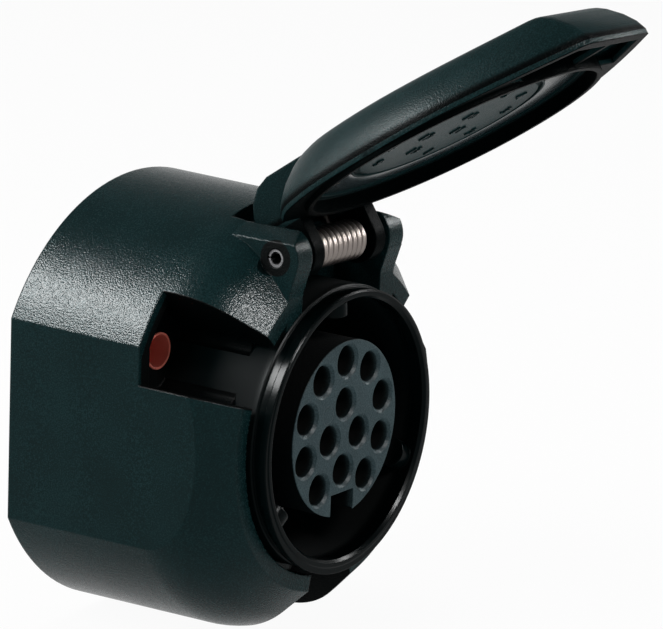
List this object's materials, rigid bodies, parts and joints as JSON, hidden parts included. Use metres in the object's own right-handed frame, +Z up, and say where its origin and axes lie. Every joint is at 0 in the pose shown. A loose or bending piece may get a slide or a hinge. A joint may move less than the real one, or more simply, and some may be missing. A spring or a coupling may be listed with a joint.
{
  "type": "trailer wiring connector",
  "caption": "Round towing socket with bayonet collar, contact carrier, side flats, recessed fixing holes and a hinged spring lid standing open.",
  "frame": {"origin": "centre of the back face on the socket axis", "axes": "+Y into the bracket behind the socket, +Z up through the hinge, +X to the right of a viewer facing the socket"},
  "size_m": [0.067, 0.0912, 0.1113],
  "materials": {
    "black_nylon": "fine-grained satin",
    "carrier_plastic": "semi-gloss",
    "contact_brass": "bright",
    "screw_steel": "zinc plated",
    "red_sleeve": "matt",
    "seal_rubber": "smooth",
    "pin_steel": "drawn",
    "spring_steel": "drawn stainless wire"
  },
  "bodies": {
    "socket": {"housing": "black_nylon", "collar": "black_nylon", "contact_insert": "carrier_plastic", "insert_retainer": "carrier_plastic", "retainer_screws": "screw_steel", "contact_01": "contact_brass", "contact_02": "contact_brass", "contact_03": "contact_brass", "contact_04": "contact_brass", "contact_05": "contact_brass", "contact_06": "contact_brass", "contact_07": "contact_brass", "contact_08": "contact_brass", "contact_09": "contact_brass", "contact_10": "contact_brass", "contact_11": "contact_brass", "contact_12": "contact_brass", "contact_13": "contact_brass", "terminal_screws": "screw_steel", "sleeve_left": "red_sleeve", "sleeve_right": "red_sleeve", "sleeve_bottom": "red_sleeve", "rear_gasket": "seal_rubber", "cable_grommet": "seal_rubber", "hinge_pin": "pin_steel", "torsion_spring": "spring_steel"},
    "lid": {"lid": "black_nylon", "lid_seal": "seal_rubber"}
  },
  "joints": [
    {"name": "lid_hinge", "type": "hinge", "parent": "socket", "child": "lid", "pos_m": [0, -0.03953, 0.0305], "axis": [1, 0, 0], "range_deg": [-10, 124], "deforming": ["torsion_spring"]}
  ]
}
